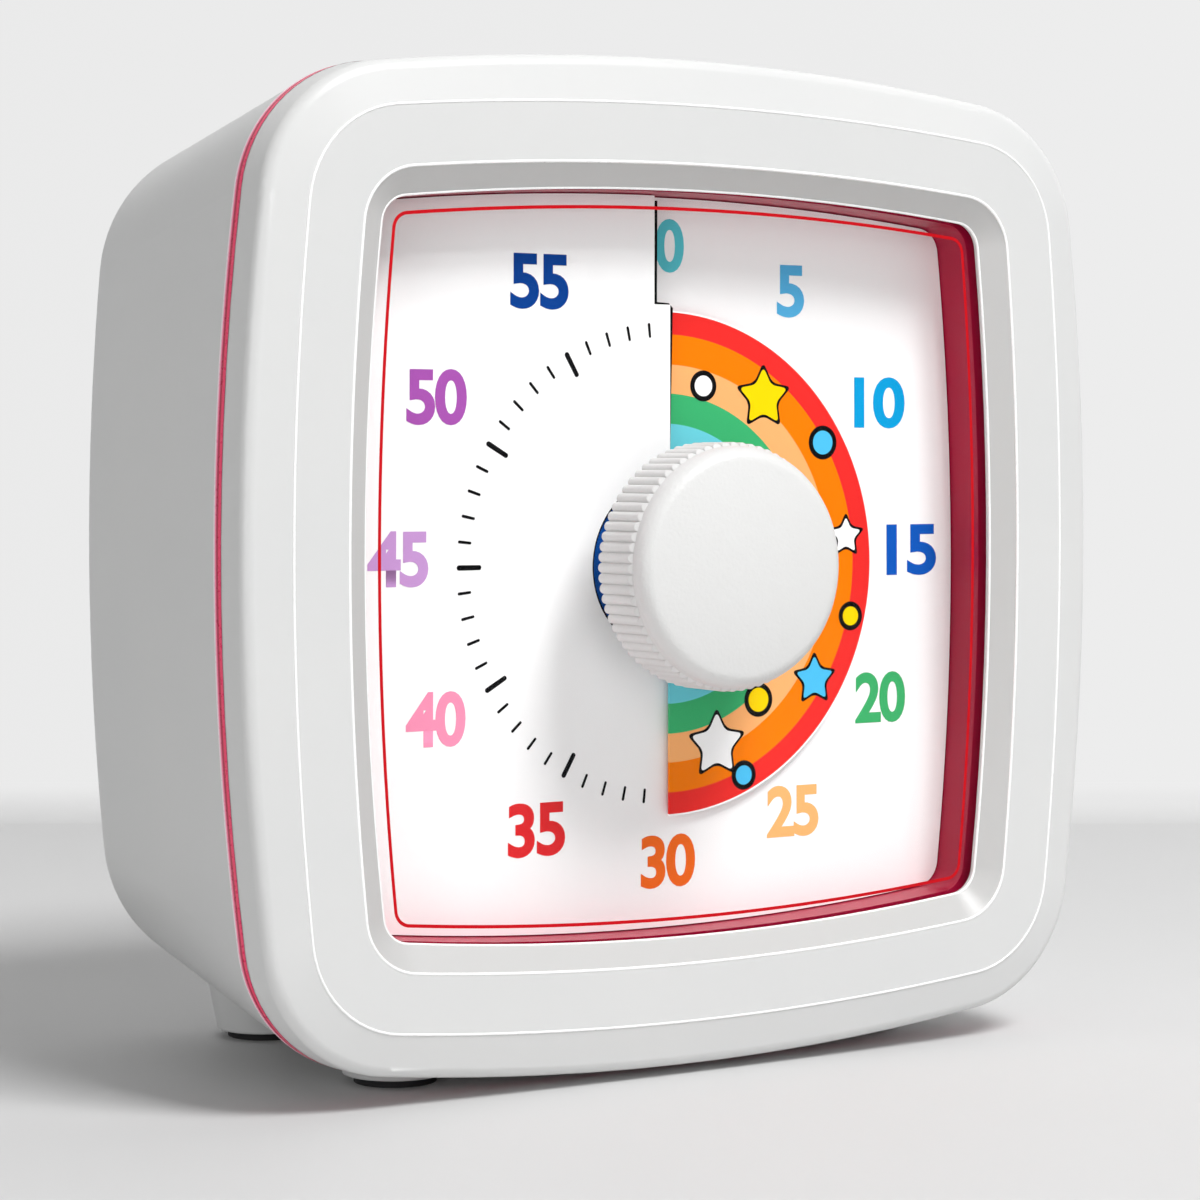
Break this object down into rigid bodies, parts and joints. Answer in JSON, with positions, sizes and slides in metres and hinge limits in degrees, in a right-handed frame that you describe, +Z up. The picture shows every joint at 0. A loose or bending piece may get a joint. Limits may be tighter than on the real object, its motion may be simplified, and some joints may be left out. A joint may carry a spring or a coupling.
{
  "type": "visual countdown timer",
  "caption": "Square desk countdown timer with a bulged white case, a threaded spiral time disc, a ribbed centre knob, a wheel train, a battery door and an alarm switch.",
  "frame": {"origin": "middle of the overall box in X and Y, on the surface that the feet stand on", "axes": "+X to the viewer's right, +Y from the dial to the back, +Z up"},
  "size_m": [0.0804, 0.049, 0.081],
  "materials": {
    "white_plastic": "satin moulded",
    "crimson_plastic": "gloss, slightly translucent",
    "clear_window": "clear gloss",
    "black_rubber": "matte",
    "steel": "zinc plated",
    "dial_film": "printed white film",
    "disc_film": "printed film in rainbow bands",
    "white_nylon": "moulded",
    "knob_plastic": "fine moulded grain",
    "brass": "turned",
    "grey_plastic": "moulded",
    "black_plastic": "moulded",
    "spring_steel": "blue-grey",
    "magnet": "sintered",
    "iron": "stamped",
    "copper": "enamelled wire",
    "green_board": "solder mask",
    "nickel": "nickel plated",
    "cell_jacket": "printed jacket"
  },
  "bodies": {
    "root": {"front_bezel": "white_plastic", "crimson_liner": "crimson_plastic", "window_lens": "clear_window", "rear_shell": "white_plastic", "rubber_feet": "black_rubber", "case_screws": "steel", "dial_sheet": "dial_film", "spindle_bush": "brass", "backing_plate": "grey_plastic", "movement_case_front": "grey_plastic", "movement_case_back": "black_plastic", "movement_screws": "steel", "stator": "iron", "coil_core": "iron", "coil_bobbin": "black_plastic", "coil_winding": "copper", "circuit_board": "green_board", "board_screws": "steel", "quartz_crystal": "nickel", "controller_chip": "black_plastic", "buzzer_disc": "brass", "battery_cell": "cell_jacket", "battery_contact_plate": "nickel", "battery_spring": "nickel", "alarm_switch_body": "black_plastic"},
    "knob": {"knob": "knob_plastic", "knob_spindle": "steel", "retaining_clip": "spring_steel", "clutch_spring": "spring_steel"},
    "disc": {"time_disc": "disc_film", "disc_hub": "white_nylon"},
    "clutch_wheel": {"clutch_wheel": "white_nylon"},
    "third_wheel": {"third_wheel": "white_nylon"},
    "second_wheel": {"second_wheel": "white_nylon"},
    "middle_wheel": {"middle_wheel": "white_nylon"},
    "rotor": {"rotor": "white_nylon", "rotor_magnet": "magnet"},
    "battery_door": {"battery_door": "white_plastic"},
    "alarm_slider": {"alarm_switch_slider": "black_plastic"}
  },
  "joints": [
    {"name": "knob_turn", "type": "hinge", "parent": "root", "child": "knob", "pos_m": [0, -0.01227, 0.0408], "axis": [0, 1, 0], "range_deg": [-180, 180]},
    {"name": "disc_slide", "type": "slide", "parent": "knob", "child": "disc", "axis": [0, -1, 0], "range_m": [-0.00081, 0.00081]},
    {"name": "second_wheel_spin", "type": "hinge", "parent": "root", "child": "second_wheel", "pos_m": [0.00359, -0.01227, 0.05088], "axis": [0, 1, 0], "continuous": true},
    {"name": "clutch_wheel_spin", "type": "hinge", "parent": "root", "child": "clutch_wheel", "pos_m": [0, -0.01227, 0.0408], "axis": [0, 1, 0], "continuous": true},
    {"name": "third_wheel_spin", "type": "hinge", "parent": "root", "child": "third_wheel", "pos_m": [0.00849, -0.01227, 0.04389], "axis": [0, 1, 0], "continuous": true},
    {"name": "middle_wheel_spin", "type": "hinge", "parent": "root", "child": "middle_wheel", "pos_m": [-0.00333, -0.01227, 0.0521], "axis": [0, 1, 0], "continuous": true},
    {"name": "rotor_spin", "type": "hinge", "parent": "root", "child": "rotor", "pos_m": [-0.00827, -0.01227, 0.04864], "axis": [0, 1, 0], "continuous": true},
    {"name": "battery_door_swing", "type": "hinge", "parent": "root", "child": "battery_door", "pos_m": [0, 0.0227, 0.01402], "axis": [-1, 0, 0], "range_deg": [0, 88]},
    {"name": "alarm_switch_slide", "type": "slide", "parent": "root", "child": "alarm_slider", "axis": [1, 0, 0], "range_m": [0, 0.004]}
  ],
  "couplings": [
    {"joint": "disc_slide", "follows": "knob_turn", "m_per_rad": 0.00025465},
    {"joint": "clutch_wheel_spin", "follows": "second_wheel_spin", "ratio": 0.016667},
    {"joint": "third_wheel_spin", "follows": "second_wheel_spin", "ratio": -0.13333},
    {"joint": "middle_wheel_spin", "follows": "second_wheel_spin", "ratio": -6},
    {"joint": "rotor_spin", "follows": "second_wheel_spin", "ratio": 30}
  ]
}
